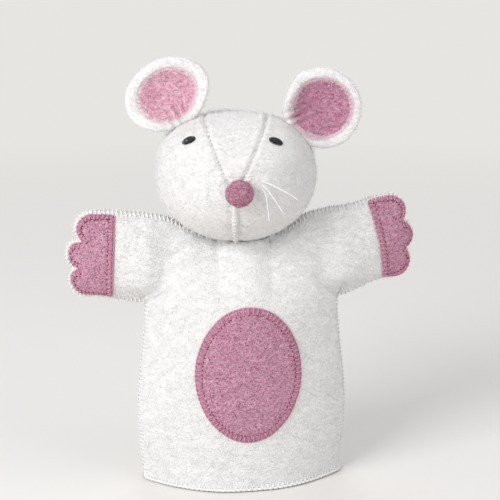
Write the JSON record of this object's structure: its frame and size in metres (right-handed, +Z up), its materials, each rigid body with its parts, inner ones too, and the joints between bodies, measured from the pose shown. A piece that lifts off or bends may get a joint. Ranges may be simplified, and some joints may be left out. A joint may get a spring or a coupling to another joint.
{
  "type": "hand puppet",
  "caption": "Felt mouse hand puppet: an open T-shaped glove with mitten paws, a tummy patch, a stuffed head on a finger pocket and cupped ears.",
  "frame": {"origin": "middle of the box round the puppet, on the plane that its open hem stands on", "axes": "+Z up from hem to ears, -Y the way the nose points, +X to the side of the higher arm"},
  "size_m": [0.224, 0.1149, 0.2755],
  "materials": {
    "white_felt": "soft matt wool felt",
    "pink_felt": "soft matt wool felt",
    "ear_pink_felt": "soft matt wool felt",
    "white_thread": "cotton sewing thread",
    "pink_thread": "cotton sewing thread",
    "black_thread": "satin-stitched cotton thread",
    "whisker_thread": "fine waxed thread",
    "wool_stuffing": "loose wool filling"
  },
  "bodies": {
    "glove": {"body_front_panel": "white_felt", "body_back_panel": "white_felt", "neck_fold_front": "white_felt", "neck_fold_back": "white_felt", "neck_tube": "white_felt", "tummy_patch": "pink_felt", "tummy_patch_stitching": "pink_thread", "hem_stitching": "white_thread", "left_side_stitching": "white_thread", "right_side_stitching": "white_thread"},
    "neck": {"neck_band": "white_felt"},
    "pocket": {"finger_pocket": "white_felt"},
    "head": {"head_stuffing": "wool_stuffing", "forehead_gusset": "white_felt", "head_left_panel": "white_felt", "head_right_panel": "white_felt", "left_gusset_stitching": "white_thread", "right_gusset_stitching": "white_thread", "chin_stitching": "white_thread", "nose": "pink_felt", "left_eye": "black_thread", "right_eye": "black_thread", "left_whisker_1": "whisker_thread", "left_whisker_2": "whisker_thread", "left_whisker_3": "whisker_thread", "right_whisker_1": "whisker_thread", "right_whisker_2": "whisker_thread", "right_whisker_3": "whisker_thread"},
    "left_ear": {"left_ear": "white_felt", "left_ear_lining": "ear_pink_felt"},
    "left_shoulder": {"left_shoulder_fold_front": "white_felt", "left_shoulder_fold_back": "white_felt"},
    "left_arm": {"left_arm_front": "white_felt", "left_arm_back": "white_felt", "left_paw_pad": "pink_felt", "left_paw_stitching": "pink_thread"},
    "right_ear": {"right_ear": "white_felt", "right_ear_lining": "ear_pink_felt"},
    "right_shoulder": {"right_shoulder_fold_front": "white_felt", "right_shoulder_fold_back": "white_felt"},
    "right_arm": {"right_arm_front": "white_felt", "right_arm_back": "white_felt", "right_paw_pad": "pink_felt", "right_paw_stitching": "pink_thread"}
  },
  "joints": [
    {"name": "head_nod", "type": "hinge", "parent": "glove", "child": "neck", "pos_m": [0, 0.0151, 0.177], "axis": [1, 0, 0], "range_deg": [-15, 20], "stiffness_Nm_per_rad": 0.25, "deforming": ["neck_tube", "neck_fold_front", "neck_fold_back"]},
    {"name": "head_tilt", "type": "hinge", "parent": "neck", "child": "pocket", "pos_m": [0, 0.0151, 0.177], "axis": [0, 1, 0], "range_deg": [-5, 5], "stiffness_Nm_per_rad": 0.25, "deforming": ["neck_tube", "neck_fold_front", "neck_fold_back"]},
    {"name": "head_turn", "type": "hinge", "parent": "pocket", "child": "head", "pos_m": [0, 0.0151, 0.177], "axis": [0, 0, 1], "range_deg": [-30, 30], "stiffness_Nm_per_rad": 0.15, "deforming": ["neck_tube", "neck_fold_front", "neck_fold_back"]},
    {"name": "left_arm_raise", "type": "hinge", "parent": "glove", "child": "left_shoulder", "pos_m": [-0.073, 0.0151, 0.14917], "axis": [0, 1, 0], "range_deg": [-20, 20], "stiffness_Nm_per_rad": 0.05, "deforming": ["left_shoulder_fold_front", "left_shoulder_fold_back"]},
    {"name": "left_arm_swing", "type": "hinge", "parent": "left_shoulder", "child": "left_arm", "pos_m": [-0.073, 0.0101, 0.14917], "axis": [0, 0, 1], "range_deg": [-10, 50], "stiffness_Nm_per_rad": 0.05, "deforming": ["left_shoulder_fold_front", "left_shoulder_fold_back"]},
    {"name": "right_arm_raise", "type": "hinge", "parent": "glove", "child": "right_shoulder", "pos_m": [0.073, 0.0151, 0.15053], "axis": [0, -1, 0], "range_deg": [-20, 20], "stiffness_Nm_per_rad": 0.05, "deforming": ["right_shoulder_fold_front", "right_shoulder_fold_back"]},
    {"name": "right_arm_swing", "type": "hinge", "parent": "right_shoulder", "child": "right_arm", "pos_m": [0.073, 0.0101, 0.15053], "axis": [0, 0, -1], "range_deg": [-10, 50], "stiffness_Nm_per_rad": 0.05, "deforming": ["right_shoulder_fold_front", "right_shoulder_fold_back"]},
    {"name": "left_ear_flick", "type": "hinge", "parent": "head", "child": "left_ear", "pos_m": [-0.03551, 0.01605, 0.23349], "axis": [0.8576, -0.1205, 0.5], "range_deg": [-8, 8], "stiffness_Nm_per_rad": 0.02},
    {"name": "right_ear_flick", "type": "hinge", "parent": "head", "child": "right_ear", "pos_m": [0.02727, 0.00723, 0.2335], "axis": [0.4028, -0.0566, -0.9135], "range_deg": [-8, 8], "stiffness_Nm_per_rad": 0.02}
  ]
}
